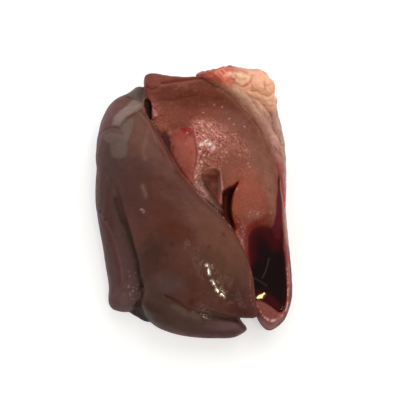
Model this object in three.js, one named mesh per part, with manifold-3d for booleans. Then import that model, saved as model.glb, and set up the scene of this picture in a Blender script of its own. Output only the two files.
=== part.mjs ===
// A whole raw beef liver, folded over on itself as it comes from the carcass and laid on a flat surface.
// The thick right lobe lies underneath with its hollow inner face up. The thin left lobe is folded over it
// from the left side. Kidney fat hangs on at the far right corner, and blood stands in the hollow at the
// near right. Millimetres, +Z up, +Y towards the end with the fat, underside at z = 0.

import * as THREE from "three";
import { LoftGeometry } from "three/addons/geometries/LoftGeometry.js";
import { mergeVertices } from "three/addons/utils/BufferGeometryUtils.js";
import Module from "manifold-3d";

// Driving dimensions
const SLAB = 40; // thickness of the right lobe away from its bumps and hollows
const FOLD_UNDER = 36; // underside of the folded lobe, where it lies sunk into the right lobe
const FOLD_RISE = 24; // how far the folded lobe's back stands above its margin
const BLOOD_LEVEL = 30; // surface of the standing blood
const POOL_FLOOR = 12; // deepest part of the hollow that holds it
const GAP = 0.4; // between the liver and what lies on or in it
const ABOVE_ALL = 90; // a height over everything, for the tops of cutting shapes
const MIDDLE = [-1.5, 6.6]; // middle of the footprint, which the finished group puts at the origin

const wasm = await Module();
wasm.setup();

// Heights over the plan

const smooth = (t) => THREE.MathUtils.smoothstep(t, 0, 1);

// A soft round hill, or a dip where rise is negative. reach is its spread along and across its own axis.
function hill({ at, reach, rise, turn = 0 }) {
  const c = Math.cos(THREE.MathUtils.degToRad(turn));
  const s = Math.sin(THREE.MathUtils.degToRad(turn));
  return (x, y) => {
    const along = ((x - at[0]) * c + (y - at[1]) * s) / reach[0];
    const across = ((y - at[1]) * c - (x - at[0]) * s) / reach[1];
    return rise * Math.exp(-along * along - across * across);
  };
}

function ground(level, ...hills) {
  const made = hills.map(hill);
  return (x, y) => made.reduce((z, h) => z + h(x, y), level);
}

// Lobes

const closedCurve = (places) =>
  new THREE.CatmullRomCurve3(
    places.map(([x, y]) => new THREE.Vector3(x, y, 0)),
    true,
    "centripetal",
  );

// Distance in plan from a point to a closed ring of points.
function distanceToRing(ring, x, y) {
  let best = Infinity;
  ring.forEach((a, i) => {
    const b = ring[(i + 1) % ring.length];
    const dx = b.x - a.x;
    const dy = b.y - a.y;
    const t = ((x - a.x) * dx + (y - a.y) * dy) / (dx * dx + dy * dy);
    const k = THREE.MathUtils.clamp(t, 0, 1);
    best = Math.min(best, Math.hypot(x - a.x - k * dx, y - a.y - k * dy));
  });
  return best;
}

// A soft pillow. Its upper and lower faces are heights over the plan, and they meet along the outline in a
// round margin, at the share belly of the thickness. grow makes it larger all over by that much.
function lobe({ outline, heart, top, under, margin, belly, columns, rings, grow = 0 }) {
  const ring = closedCurve(outline).getSpacedPoints(columns).slice(0, columns);
  if (THREE.ShapeUtils.isClockWise(ring)) ring.reverse();
  const middle = new THREE.Vector3(heart[0], heart[1], 0);
  const marginAt = typeof margin === "number" ? () => margin : margin;
  const edge = ring.map((p, i) => {
    const before = ring[(i + columns - 1) % columns];
    const after = ring[(i + 1) % columns];
    const outward = new THREE.Vector3(after.y - before.y, before.x - after.x, 0).normalize();
    return p.clone().addScaledVector(outward, grow);
  });

  const section = (share, upper) =>
    edge.map((p) => {
      const q = middle.clone().lerp(p, share);
      const low = under(q.x, q.y) - grow;
      const high = top(q.x, q.y) + grow;
      const seam = low + belly * (high - low);
      const inset = share === 1 ? 0 : distanceToRing(edge, q.x, q.y) / marginAt(q.x, q.y);
      const round = inset < 1 ? Math.sqrt(1 - (1 - inset) ** 2) : 1;
      q.z = upper ? seam + (high - seam) * round : seam + (low - seam) * round;
      return q;
    });

  // Both faces start from a single point at the heart. The rings around it lie closer together towards
  // the margin, where the face turns.
  const shares = (count) =>
    Array.from({ length: count + 1 }, (_, k) => Math.sin((k / (count + 1)) * (Math.PI / 2)) ** 0.8);
  const lower = shares(rings.under).map((share) => section(share, false));
  const upper = shares(rings.top).map((share) => section(share, true));
  const sections = [...lower, section(1, true), ...upper.reverse()];
  return solidOf(new LoftGeometry(sections));
}

// Solids

// Points closer than weld become one. Triangles that this shrinks to a line are left out, such as those
// where a ring closes to a point.
function solidOf(geometry, weld = 1e-4) {
  const bare = new THREE.BufferGeometry();
  bare.setAttribute("position", geometry.getAttribute("position"));
  bare.setIndex(geometry.getIndex());
  const { attributes, index } = mergeVertices(bare, weld);
  const corners = index.array;
  const kept = [];
  for (let i = 0; i < corners.length; i += 3) {
    const [a, b, c] = [corners[i], corners[i + 1], corners[i + 2]];
    if (a !== b && b !== c && c !== a) kept.push(a, b, c);
  }
  const mesh = new wasm.Mesh({
    numProp: 3,
    vertProperties: attributes.position.array,
    triVerts: new Uint32Array(kept),
  });
  return new wasm.Manifold(mesh);
}

// One body out of several that run into each other. Crumbs and sealed pockets between them are dropped.
function joined(...solids) {
  const shells = solids.reduce((all, solid) => all.add(solid)).decompose();
  return shells.reduce((best, shell) => (shell.volume() > best.volume() ? shell : best));
}

function ellipsoid({ at, size, turn = 0 }) {
  const geometry = new THREE.SphereGeometry(1, 16, 10);
  geometry.scale(...size);
  geometry.rotateZ(THREE.MathUtils.degToRad(turn));
  geometry.translate(...at);
  return solidOf(geometry);
}

function geometryOf(solid) {
  const { vertProperties, triVerts } = solid.getMesh();
  const geometry = new THREE.BufferGeometry();
  geometry.setAttribute("position", new THREE.BufferAttribute(vertProperties, 3));
  geometry.setIndex(new THREE.BufferAttribute(triVerts, 1));
  return geometry;
}

// The finished sub-part, with the very short edges that the cuts leave closed up
function meshOf(name, solid, material) {
  const geometry = geometryOf(solidOf(geometryOf(solid), 0.02));
  geometry.computeVertexNormals();
  const mesh = new THREE.Mesh(geometry, material);
  mesh.name = name;
  return mesh;
}

// Right lobe: the thick slab underneath, cut straight at the far left and turned up in a rim at the right

const rightLobe = {
  outline: [
    [122, 6], [121, 53], [117, 95], [110, 137], [94, 168], [56, 178], [12, 174], [-25, 174], [-60, 178],
    [-68, 173.5], [-67.5, 156], [-69, 142], [-72, 128], [-86, 96], [-104, 60], [-113, 15], [-108, -45],
    [-101, -95], [-97, -122], [-86, -138], [-74, -147], [-58, -153], [-20, -142], [30, -132], [60, -128],
    [77, -140], [86.5, -156], [96, -163.5], [115.5, -151], [127, -125], [128, -93], [125, -48],
  ],
  heart: [30, 0],
  top: ground(
    SLAB,
    { at: [28, 72], reach: [42, 46], rise: 9 }, // the bulge at the porta
    { at: [15, 128], reach: [85, 16], rise: -8, turn: -6 }, // trough behind the far edge
    { at: [98, 55], reach: [70, 15], rise: -9, turn: 97 }, // valley inside the right rim
    { at: [118, -50], reach: [120, 9], rise: 5, turn: 90 }, // the rim itself
    { at: [-20, 178], reach: [90, 12], rise: 4 }, // lip of the far edge
    { at: [72, 0], reach: [26, 40], rise: 5 }, // shoulder above the pool
    { at: [-98, -60], reach: [90, 34], rise: -22, turn: 98 }, // sinks away under the fold
    { at: [-73, -148], reach: [18, 13], rise: -26 }, // gap between the flap and the rolled edge
    { at: [93, -78], reach: [23, 50], rise: -24, turn: 8 }, // basin that the blood stands in
    { at: [80, -40], reach: [18, 18], rise: -4.5 }, // its far left corner
  ),
  under: ground(0),
  margin: (x, y) => 11 - 6 * smooth((y - 130) / 35),
  belly: 0.42,
  columns: 96,
  rings: { top: 12, under: 2 },
};

// The steep inner side of the basin, along the rim at the near right. Its floor is deepest along the rim,
// rises to the far side, and rises across a curved shore to the dry floor of the tip.
const hollow = {
  outline: [
    [114, 44], [116, -2], [117, -30], [118, -56], [119, -85], [119, -106], [116, -127], [111, -145],
    [98, -149], [86, -142], [73, -128], [70, -100], [74, -70], [83, -45], [95, -20], [104, 10], [109, 40],
  ],
  heart: [100, -75],
  top: ground(ABOVE_ALL),
  under: (x, y) => {
    const pastShore = -0.85 * (y + 124 + 0.0165 * (x - 77.5) ** 2);
    return POOL_FLOOR + 28 * smooth((y + 92) / 75) + 24 * smooth((pastShore + 10) / 16);
  },
  margin: (x, y) => 8 + 14 * smooth((105 - x) / 20) * smooth((y + 120) / 20),
  belly: 0.3,
  columns: 60,
  rings: { top: 1, under: 7 },
};

// Mouth of the vein at the porta, a shallow dish, the deep slit beside it, and the gap between the two
// lobes at the far left, where the fold doesn't close on the slab
const veinMouth = {
  outline: [[33, 42], [20, 43], [10, 35], [12, 22], [22, 8], [33, -4], [37, -2], [36, 15], [35, 30]],
  heart: [26, 24],
  top: ground(ABOVE_ALL),
  under: (x, y) => 39 - 0.25 * (y - 8) + 0.3 * (24 - x),
  margin: 3,
  belly: 0.1,
  columns: 28,
  rings: { top: 1, under: 4 },
};
const slit = {
  outline: [
    [62, 30], [51, 22], [43, 17], [37, 12], [36, -4], [38, -18], [47, -30], [58, -45], [54, -30],
    [50, -16], [50, -4], [53, 12],
  ],
  heart: [44, 0],
  top: ground(ABOVE_ALL),
  under: ground(20),
  margin: 5,
  belly: 0.45,
  columns: 28,
  rings: { top: 1, under: 3 },
};
const farGap = {
  outline: [
    [-66, 146], [-60, 146], [-57, 138], [-56, 128], [-55.5, 117], [-57, 108], [-61, 112], [-65, 120],
    [-68, 132], [-68, 142],
  ],
  heart: [-62, 128],
  top: ground(ABOVE_ALL),
  under: ground(20),
  margin: 3,
  belly: 0.3,
  columns: 28,
  rings: { top: 1, under: 3 },
};

// Folded lobe: turns over at the left side and lies across the right lobe with its smooth back up

const foldedLobe = {
  outline: [
    [79, -145], [78, -125], [76, -100], [72, -84], [64, -62], [51, -39], [34, -17], [17, -3], [3, 12],
    [-17, 36], [-29, 56], [-44, 85], [-59, 112], [-65.5, 127], [-66.5, 142], [-65, 158], [-77, 161],
    [-90, 152], [-101, 147], [-111.5, 138], [-121, 123], [-128, 98.5], [-131, 72], [-129, 48],
    [-113, 28], [-101, 10], [-94, -10], [-84, -37], [-76, -62], [-69, -85], [-61, -110], [-35, -121],
    [-4, -131], [33, -142], [62, -147],
  ],
  heart: [-45, 0],
  top: ground(
    SLAB + 6,
    { at: [-36, -30], reach: [130, 68], rise: FOLD_RISE, turn: -62 }, // the broad back
    { at: [-105, 80], reach: [60, 34], rise: 14, turn: 90 }, // shoulder over the fold
  ),
  under: (x, y) => FOLD_UNDER * smooth((x + 105) / 45) * smooth((165 - y) / 60),
  margin: (x, y) => 13 + 18 * smooth((-x - 55) / 50) * smooth((y - 5) / 50),
  belly: 0.42,
  columns: 92,
  rings: { top: 10, under: 2 },
};

// Left margin: hangs down outside the fold, parted from the back by a long groove
const leftMargin = {
  outline: [
    [-56, -105], [-58, -80], [-64, -45], [-76, -5], [-86, 30], [-95, 62], [-117, 75], [-128, 60],
    [-131.5, 30], [-131, 8], [-128, -15], [-122, -48], [-115, -84], [-111, -106], [-111, -128],
    [-106, -136], [-97, -139.5], [-84, -140], [-68, -126],
  ],
  heart: [-98, -40],
  top: ground(
    SLAB - 2,
    { at: [-105, 30], reach: [70, 44], rise: 20, turn: 90 },
    { at: [-90, -145], reach: [40, 24], rise: -10 },
  ),
  under: ground(0),
  margin: (x) => 9 + 13 * smooth((-x - 78) / 22),
  belly: 0.3,
  columns: 56,
  rings: { top: 7, under: 2 },
};

// Tucked edge: the near edge of the folded lobe, rolled under so that it shows below the back
const tuckedEdge = {
  outline: [
    [58, -143], [50, -137], [30, -128], [-10, -112], [-45, -100], [-62, -110], [-67, -126], [-62, -144],
    [-50, -157], [-30, -166], [-4, -171.5], [28, -173], [51, -172], [62, -167.5], [69, -161.5], [62, -151],
  ],
  heart: [0, -142],
  top: ground(SLAB, { at: [-40, -120], reach: [70, 30], rise: 12 }),
  under: ground(0),
  margin: (x, y) => 7 + 17 * smooth((-y - 128) / 22) * (1 - 0.7 * smooth((x - 30) / 25)),
  belly: 0.35,
  columns: 56,
  rings: { top: 7, under: 2 },
};

// Caudate lobe: the small oval lobe that looks out from under the fold
const caudate = {
  outline: [
    [8, 64], [3, 99], [-14, 101], [-27, 94], [-30.5, 75], [-30, 52], [-24, 24], [-8, -2], [6, 2],
    [7, 33],
  ],
  heart: [-12, 58],
  top: ground(SLAB, { at: [-5, 58], reach: [40, 22], rise: 14, turn: 97 }),
  under: ground(28),
  margin: 7,
  belly: 0.5,
  columns: 40,
  rings: { top: 6, under: 2 },
};

// Strap: the flattened wall of the vein, drawn out along the edge of the fold
const strap = {
  outline: [[5, 33], [-1, 22], [4, 8], [18, -8], [32, -19], [39, -15], [31, 1], [17, 19], [10, 31]],
  heart: [17, 6],
  top: ground(49),
  under: ground(36),
  margin: 5,
  belly: 0.5,
  columns: 28,
  rings: { top: 3, under: 2 },
};

function makeLiver() {
  const slab = lobe(rightLobe)
    .subtract(lobe(hollow))
    .subtract(lobe(veinMouth))
    .subtract(lobe(slit))
    .subtract(lobe(farGap));
  return joined(
    slab,
    lobe(caudate),
    lobe(strap),
    lobe(foldedLobe),
    lobe(leftMargin),
    lobe(tuckedEdge),
  );
}

// Kidney fat: a sheet wrapped over the far right corner and the rim, with round lumps along the corner

const fatSheet = {
  outline: [
    [121, 2], [122.5, 30], [122.5, 57], [119, 95], [112.5, 122], [110.5, 142], [102.5, 169], [87, 180],
    [62, 185], [42, 186], [24, 182], [8, 178], [2, 172], [12, 165], [28, 158], [42, 150], [58, 137],
    [76, 116], [90, 92], [101, 66], [108, 42], [112, 20], [114, -6], [119, -12],
  ],
  heart: [103, 92],
  top: ground(
    SLAB + 3,
    { at: [72, 158], reach: [60, 26], rise: 9, turn: -14 },
    { at: [100, 134], reach: [46, 18], rise: 5, turn: -62 },
    { at: [98, 55], reach: [70, 15], rise: -5, turn: 97 },
  ),
  under: ground(19),
  margin: 7,
  belly: 0.35,
  columns: 72,
  rings: { top: 6, under: 2 },
};

const fatLumps = [
  { at: [96.5, 152, 45], size: [14, 15, 12] },
  { at: [86, 153, 46], size: [14, 11, 11] },
  { at: [103.5, 136, 42], size: [8, 8, 9] },
  { at: [99, 131, 44], size: [6, 5, 7] },
  { at: [88, 140, 44], size: [14, 4, 7], turn: -24 },
  { at: [71, 163, 46], size: [13, 9, 8], turn: -20 },
  { at: [56, 166, 46], size: [10, 7, 8] },
  { at: [42, 172, 43], size: [13, 7, 7], turn: 12 },
  { at: [28, 173, 41], size: [12, 7, 6], turn: 20 },
  { at: [50, 181, 40], size: [11, 4.5, 8] },
  { at: [66, 176, 41], size: [12, 6, 8], turn: -8 },
  { at: [87, 171, 38], size: [16, 10, 12], turn: -24 },
  { at: [12, 174, 38], size: [9, 5, 5], turn: 10 },
];

function makeFat() {
  return joined(lobe(fatSheet), ...fatLumps.map(ellipsoid))
    .subtract(lobe({ ...rightLobe, grow: GAP }))
    .subtract(lobe({ ...foldedLobe, grow: GAP }));
}

// Blood: fills the basin up to its level, and runs in under the edge of the fold

const pool = {
  outline: [
    [112, 30], [117.5, -2], [119, -30], [121, -56], [122.5, -85], [122, -106], [118.5, -128],
    [110, -140], [98, -143], [84, -136], [70, -124], [60, -100], [56, -70], [62, -40], [80, -16],
    [98, 10], [106, 30],
  ],
  heart: [96, -70],
  top: ground(BLOOD_LEVEL),
  under: ground(POOL_FLOOR - 3),
  margin: 2,
  belly: 0.85,
  columns: 40,
  rings: { top: 2, under: 2 },
};

function makeBlood() {
  const bed = lobe({ ...rightLobe, grow: GAP }).subtract(lobe({ ...hollow, grow: -GAP }));
  const standing = lobe(pool)
    .subtract(bed)
    .subtract(lobe({ ...foldedLobe, grow: GAP }))
    .subtract(lobe({ ...tuckedEdge, grow: GAP }));
  return joined(standing);
}

const flesh = new THREE.MeshStandardMaterial({ color: "#6b3f36", roughness: 0.35, metalness: 0 });
const suet = new THREE.MeshStandardMaterial({ color: "#e0a688", roughness: 0.5, metalness: 0 });
const gore = new THREE.MeshStandardMaterial({ color: "#2a0d0c", roughness: 0.08, metalness: 0 });

const beefLiver = new THREE.Group();
beefLiver.add(
  meshOf("liver", makeLiver(), flesh),
  meshOf("kidney_fat", makeFat(), suet),
  meshOf("blood_pool", makeBlood(), gore),
);
beefLiver.position.set(-MIDDLE[0], -MIDDLE[1], 0);

export default beefLiver;
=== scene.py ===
import math

import bpy
import numpy as np
from mathutils import Matrix, Vector, kdtree, noise


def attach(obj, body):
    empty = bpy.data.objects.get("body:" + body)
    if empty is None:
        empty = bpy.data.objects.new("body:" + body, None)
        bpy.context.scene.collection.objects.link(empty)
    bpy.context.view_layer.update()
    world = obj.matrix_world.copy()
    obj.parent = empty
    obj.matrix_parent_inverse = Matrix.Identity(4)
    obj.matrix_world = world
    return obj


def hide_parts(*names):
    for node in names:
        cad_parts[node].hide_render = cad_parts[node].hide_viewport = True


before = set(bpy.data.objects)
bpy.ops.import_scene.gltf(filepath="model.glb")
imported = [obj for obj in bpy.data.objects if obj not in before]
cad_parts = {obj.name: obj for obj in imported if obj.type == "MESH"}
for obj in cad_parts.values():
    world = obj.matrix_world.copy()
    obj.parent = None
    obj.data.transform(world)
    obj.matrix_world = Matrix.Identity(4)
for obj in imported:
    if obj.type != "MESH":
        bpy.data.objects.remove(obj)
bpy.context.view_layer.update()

# Right lobe. The thick slab that lies underneath, hollow inner face up, with a turned-up rim at the right.
# It is solid, dark, fine-grained flesh. The blood vessels enter it at the porta, where a vein's mouth and
# a slit beside it open, and the near right of it is sunk into a hollow.

MM = 0.001
SLAB = 40.0  # thickness of the right lobe away from its bumps and hollows, in mm like all the shapes here
PLAN_MIDDLE = (-1.5, 6.6)  # middle of the footprint, in the plan that every outline is drawn in
FINE = 16  # steps between two given points of a smooth curve before it is spaced out evenly
COLUMNS = 320  # points in each ring of a lobe
UPPER_RINGS = 60  # rings on its upper face
LOWER_RINGS = 14  # and on its lower face


def spline(points, count, closed=True):
    """Evenly spaced points on a smooth curve through the given ones."""
    p = np.array(points, float)
    if closed:
        line = np.vstack([p[-1], p, p[0], p[1]])
    else:
        line = np.vstack([2 * p[0] - p[1], p, 2 * p[-1] - p[-2]])
    a, b, c, d = line[:-3], line[1:-2], line[2:-1], line[3:]

    def knot(u, v):
        return np.sqrt(np.linalg.norm(v - u, axis=1))[:, None]

    def between(t, p, q, start, end):
        return (p * (end - t) + q * (t - start)) / (end - start)

    t1 = knot(a, b)
    t2 = t1 + knot(b, c)
    t3 = t2 + knot(c, d)
    fine = []
    for share in np.arange(FINE) / FINE:
        t = t1 + share * (t2 - t1)
        ab, bc, cd = between(t, a, b, 0, t1), between(t, b, c, t1, t2), between(t, c, d, t2, t3)
        fine.append(between(t, between(t, ab, bc, 0, t2), between(t, bc, cd, t1, t3), t1, t2))
    path = np.stack(fine, 1).reshape(-1, p.shape[1])
    path = np.vstack([path, path[:1] if closed else p[-1:]])
    run = np.r_[0, np.cumsum(np.linalg.norm(np.diff(path, axis=0), axis=1))]
    marks = np.linspace(0, run[-1], count, endpoint=not closed)
    return np.stack([np.interp(marks, run, path[:, k]) for k in range(p.shape[1])], 1)


def distance_to(path, x, y, closed=False):
    """Distance in plan from each point to a path."""
    starts = path if closed else path[:-1]
    ends = np.roll(path, -1, 0) if closed else path[1:]
    best = np.full(np.shape(x), np.inf)
    for (ax, ay), (bx, by) in zip(starts[:, :2], ends[:, :2]):
        dx, dy = bx - ax, by - ay
        t = np.clip(((x - ax) * dx + (y - ay) * dy) / (dx * dx + dy * dy), 0, 1)
        best = np.minimum(best, np.hypot(x - ax - t * dx, y - ay - t * dy))
    return best


def ramp(value, none, full):
    """0 where the value is at none, 1 where it is at full, and a soft slope between the two."""
    t = np.clip((value - none) / (full - none), 0, 1)
    return t * t * (3 - 2 * t)


def out_of_oval(x, y, at, reach, turn=0):
    """How far out each place lies from the middle of an oval in plan: 1 is on the oval itself."""
    c, s = math.cos(math.radians(turn)), math.sin(math.radians(turn))
    along = ((x - at[0]) * c + (y - at[1]) * s) / reach[0]
    across = ((y - at[1]) * c - (x - at[0]) * s) / reach[1]
    return np.hypot(along, across)


def ground(level, *hills):
    """A height over the plan: a level with soft hills and dips, each (at, reach, rise, turn in degrees)."""
    def height(x, y):
        z = np.full(np.shape(x), float(level))
        for at, reach, rise, turn in hills:
            z = z + rise * np.exp(-out_of_oval(x, y, at, reach, turn) ** 2)
        return z
    return height


def joined_rings(rings, columns):
    """Faces between rings of points that are stacked from one pole to the other."""
    last = 1 + rings * columns
    faces = []
    for j in range(columns):
        k = (j + 1) % columns
        faces.append((0, 1 + k, 1 + j))
        faces.append((last, last - columns + j, last - columns + k))
        for r in range(rings - 1):
            here, above = 1 + r * columns, 1 + (r + 1) * columns
            faces.append((here + j, here + k, above + k, above + j))
    return faces


def lobe(outline, heart, top, under, margin, belly):
    """A soft pillow between two heights, which meet along its outline in a round margin. Its rings of points
    close in on its heart, and belly is the share of its height at which the margin bulges out most."""
    edge = spline(outline, COLUMNS)
    after = np.roll(edge, -1, 0)
    if np.sum(edge[:, 0] * after[:, 1] - edge[:, 1] * after[:, 0]) < 0:
        edge = edge[::-1]
    margin_at = margin if callable(margin) else lambda x, y: margin
    heart = np.array(heart, float)

    def face(shares, upper):
        plan = (heart + np.array(shares)[:, None, None] * (edge - heart)).reshape(-1, 2)
        x, y = plan[:, 0], plan[:, 1]
        low, high = under(x, y), top(x, y)
        seam = low + belly * (high - low)
        inset = np.minimum(distance_to(edge, x, y, closed=True) / margin_at(x, y), 1)
        swell = np.sqrt(1 - (1 - inset) ** 2)
        return np.column_stack([plan, seam + ((high if upper else low) - seam) * swell])

    def shares(count):
        return np.sin(np.arange(1, count + 1) / (count + 1) * np.pi / 2) ** 0.8

    lower = face(shares(LOWER_RINGS), False)
    upper = face(shares(UPPER_RINGS)[::-1], True)
    verts = np.vstack([face([0], False)[:1], lower, face([1], True), upper, face([0], True)[:1]])
    return verts, joined_rings(LOWER_RINGS + 1 + UPPER_RINGS, COLUMNS)


def placed(name, data):
    """A new object in the scene."""
    made = bpy.data.objects.new(name, data)
    bpy.context.scene.collection.objects.link(made)
    return made


def new_object(name, verts, faces):
    mesh = bpy.data.meshes.new(name)
    mesh.from_pydata(verts.tolist(), [], faces)
    return placed(name, mesh)


def apply_modifiers(made):
    graph = bpy.context.evaluated_depsgraph_get()
    mesh = bpy.data.meshes.new_from_object(made.evaluated_get(graph))
    made.modifiers.clear()
    made.data = mesh


def cut_away(made, tools):
    """Takes each of the tools' shapes out of the made object."""
    for verts, faces in tools:
        tool = new_object("cutter", verts, faces)
        cut = made.modifiers.new("cut", "BOOLEAN")
        cut.operation = "DIFFERENCE"
        cut.solver = "MANIFOLD"
        cut.object = tool
        apply_modifiers(made)
        bpy.data.objects.remove(tool)


right_lobe = dict(
    outline=[
        (122, 6), (121, 53), (117, 95), (110, 137), (94, 168), (56, 178), (12, 174), (-25, 174), (-60, 178),
        (-68, 173.5), (-67.5, 156), (-69, 142), (-72, 128), (-86, 96), (-104, 60), (-113, 15), (-108, -45),
        (-101, -95), (-97, -122), (-86, -138), (-74, -147), (-58, -153), (-20, -142), (30, -132), (60, -128),
        (77, -140), (86.5, -156), (96, -163.5), (115.5, -151), (127, -125), (128, -93), (125, -48),
    ],
    heart=(30, 0),
    top=ground(
        SLAB,
        ((28, 72), (42, 46), 9, 0),  # bulge at the porta
        ((15, 128), (85, 16), -8, -6),  # trough behind the far edge
        ((98, 55), (70, 15), -9, 97),  # valley inside the right rim
        ((118, -50), (120, 9), 5, 90),  # the rim itself
        ((-20, 178), (90, 12), 4, 0),  # lip of the far edge
        ((72, 0), (26, 40), 5, 0),  # shoulder above the pool
        ((-98, -60), (90, 34), -22, 98),  # sinks away under the fold
        ((-73, -148), (18, 13), -26, 0),  # gap between the flap and the rolled edge
        ((93, -78), (23, 50), -24, 8),  # basin that the blood stands in
        ((80, -40), (18, 18), -4.5, 0),  # its far left corner
    ),
    under=ground(0),
    margin=lambda x, y: 11 - 6 * ramp(y, 130, 165),
    belly=0.42,
)
ABOVE_ALL = 90.0  # what is cut out of the slab is open to above every lobe
BLOOD_LEVEL = 30.0
POOL_FLOOR = 12.0  # the deepest flesh under the blood


def past_shore(x, y):
    """How far a place lies past the curved shore between the blood and the dry floor of the tip."""
    return -0.85 * (y + 124 + 0.0165 * (x - 77.5) ** 2)


def pool_floor(x, y):
    """Deep along the rim, rising to the far side and, across the shore, to the floor of the tip."""
    return POOL_FLOOR + 28 * ramp(y, -92, -17) + 24 * ramp(past_shore(x, y), -10, 6)


hollow = dict(
    outline=[
        (114, 44), (116, -2), (117, -30), (118, -56), (119, -85), (119, -106), (116, -127),
        (111, -145), (98, -149), (86, -142), (73, -128), (70, -100), (74, -70), (83, -45), (95, -20),
        (104, 10), (109, 40),
    ],
    heart=(100, -75),
    top=ground(ABOVE_ALL),
    under=pool_floor,
    margin=lambda x, y: 8 + 14 * ramp(x, 105, 85) * ramp(y, -120, -100),
    belly=0.3,
)
vein_mouth = dict(
    outline=[(33, 42), (20, 43), (10, 35), (12, 22), (22, 8), (33, -4), (37, -2), (36, 15), (35, 30)],
    heart=(26, 24),
    top=ground(ABOVE_ALL),
    under=lambda x, y: 39 - 0.25 * (y - 8) + 0.3 * (24 - x),
    margin=3,
    belly=0.1,
)
slit = dict(
    outline=[
        (62, 30), (51, 22), (43, 17), (37, 12), (36, -4), (38, -18), (47, -30), (58, -45), (54, -30),
        (50, -16), (50, -4), (53, 12),
    ],
    heart=(44, 0),
    top=ground(ABOVE_ALL),
    under=ground(20),
    margin=5,
    belly=0.45,
)
far_gap = dict(
    outline=[
        (-65.5, 141), (-61, 141), (-57.5, 136), (-56, 128), (-55.5, 117), (-57, 108), (-61, 112), (-65, 120),
        (-67, 130), (-67, 137),
    ],
    heart=(-62, 128),
    top=ground(ABOVE_ALL),
    under=ground(20),
    margin=3,
    belly=0.3,
)

liver = new_object("liver_body", *lobe(**right_lobe))
cut_away(liver, [lobe(**hollow), lobe(**vein_mouth), lobe(**slit), lobe(**far_gap)])

# Caudate lobe and strap. The small oval lobe looks out smooth and bright from under the fold, and the
# strap is the flattened wall of the vein, drawn out along the edge of the fold. Both grow from the slab.

caudate = dict(
    outline=[
        (8, 64), (3, 99), (-14, 101), (-27, 94), (-30.5, 75), (-30, 52), (-24, 24), (-8, -2), (6, 2), (7, 33),
    ],
    heart=(-12, 58),
    top=ground(SLAB, ((-5, 58), (40, 22), 14, 97)),
    under=ground(28),
    margin=7,
    belly=0.5,
)
strap = dict(
    outline=[(5, 33), (-1, 22), (4, 8), (18, -8), (32, -19), (39, -15), (31, 1), (17, 19), (10, 31)],
    heart=(17, 6),
    top=ground(49),
    under=ground(36),
    margin=5,
    belly=0.5,
)

# Folded lobe. The thin left lobe turns over at the left side and lies across the slab, smooth back up.
# Its outer skin is a tight, wet, grey-brown capsule. Outside the fold its margin hangs down as a flap,
# and its near edge is rolled under.

folded_lobe = dict(
    outline=[
        (79, -145), (78, -125), (76, -100), (72, -84), (64, -62), (51, -39), (34, -17), (17, -3), (3, 12),
        (-17, 36), (-29, 56), (-44, 85), (-59, 112), (-65.5, 127), (-66.5, 142), (-65, 158), (-77, 161),
        (-90, 152), (-101, 147), (-111.5, 138), (-121, 123), (-128, 98.5), (-131, 72), (-129, 48), (-113, 28),
        (-101, 10), (-94, -10), (-84, -37), (-76, -62), (-69, -85), (-61, -110), (-35, -121), (-4, -131),
        (33, -142), (62, -147),
    ],
    heart=(-45, 0),
    top=ground(
        SLAB + 6,
        ((-36, -30), (130, 68), 24, -62),  # the broad back
        ((-105, 80), (60, 34), 14, 90),  # shoulder over the fold
    ),
    under=lambda x, y: 36 * ramp(x, -105, -60) * ramp(y, 165, 105),
    margin=lambda x, y: 13 + 18 * ramp(x, -55, -105) * ramp(y, 5, 55),
    belly=0.42,
)
left_margin = dict(
    outline=[
        (-56, -105), (-58, -80), (-64, -45), (-76, -5), (-86, 30), (-95, 62), (-117, 75), (-128, 60),
        (-131.5, 30), (-131, 8), (-128, -15), (-122, -48), (-115, -84), (-111, -106), (-111, -128),
        (-106, -136), (-97, -139.5), (-84, -140), (-68, -126),
    ],
    heart=(-98, -40),
    top=ground(38, ((-105, 30), (70, 44), 20, 90), ((-90, -145), (40, 24), -10, 0)),
    under=ground(0),
    margin=lambda x, y: 9 + 13 * ramp(x, -78, -100),
    belly=0.3,
)
tucked_edge = dict(
    outline=[
        (58, -143), (50, -137), (30, -128), (-10, -112), (-45, -100), (-62, -110), (-67, -126),
        (-62, -144), (-50, -157), (-30, -166), (-4, -171.5), (28, -173), (51, -172), (62, -167.5),
        (69, -161.5), (62, -151),
    ],
    heart=(0, -142),
    top=ground(40, ((-40, -120), (70, 30), 12, 0)),
    under=ground(0),
    margin=lambda x, y: 7 + 17 * ramp(y, -128, -150) * (1 - 0.7 * ramp(x, 30, 55)),
    belly=0.35,
)

# Body. All the lobes are one organ, so their shapes are grown together into one skin, evened out where
# they run into each other, and then modelled with the folds, edges and unevenness that each part has.

SKIN_STEP = 1.5  # spacing of the grown skin's points
SEED_SHIFT = 17.3  # how far apart in a pattern two seeds lie
LINE_STEPS = 60  # points along each line that is drawn on the skin


def arrays_of(mesh):
    """Points and edges of a mesh as arrays."""
    points = np.empty(len(mesh.vertices) * 3)
    mesh.vertices.foreach_get("co", points)
    edges = np.empty(len(mesh.edges) * 2, int)
    mesh.edges.foreach_get("vertices", edges)
    return points.reshape(-1, 3), edges.reshape(-1, 2)


def put_points(mesh, points):
    mesh.vertices.foreach_set("co", points.ravel())
    mesh.update()


def normals_of(mesh):
    normals = np.empty(len(mesh.vertices) * 3)
    mesh.vertex_normals.foreach_get("vector", normals)
    return normals.reshape(-1, 3)


def evened(values, edges, rounds, share=0.5):
    """Values at the points of a mesh, each drawn towards its neighbours' mean some rounds."""
    a, b = edges[:, 0], edges[:, 1]
    count = len(values)
    here, there = np.r_[a, b], np.r_[b, a]
    neighbours = np.maximum(np.bincount(here, minlength=count), 1)[:, None]
    flat = values.reshape(count, -1).astype(float)
    for _ in range(rounds):
        sums = [np.bincount(here, column[there], minlength=count) for column in flat.T]
        flat = flat + share * (np.stack(sums, 1) / neighbours - flat)
    return flat.reshape(values.shape)


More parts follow.
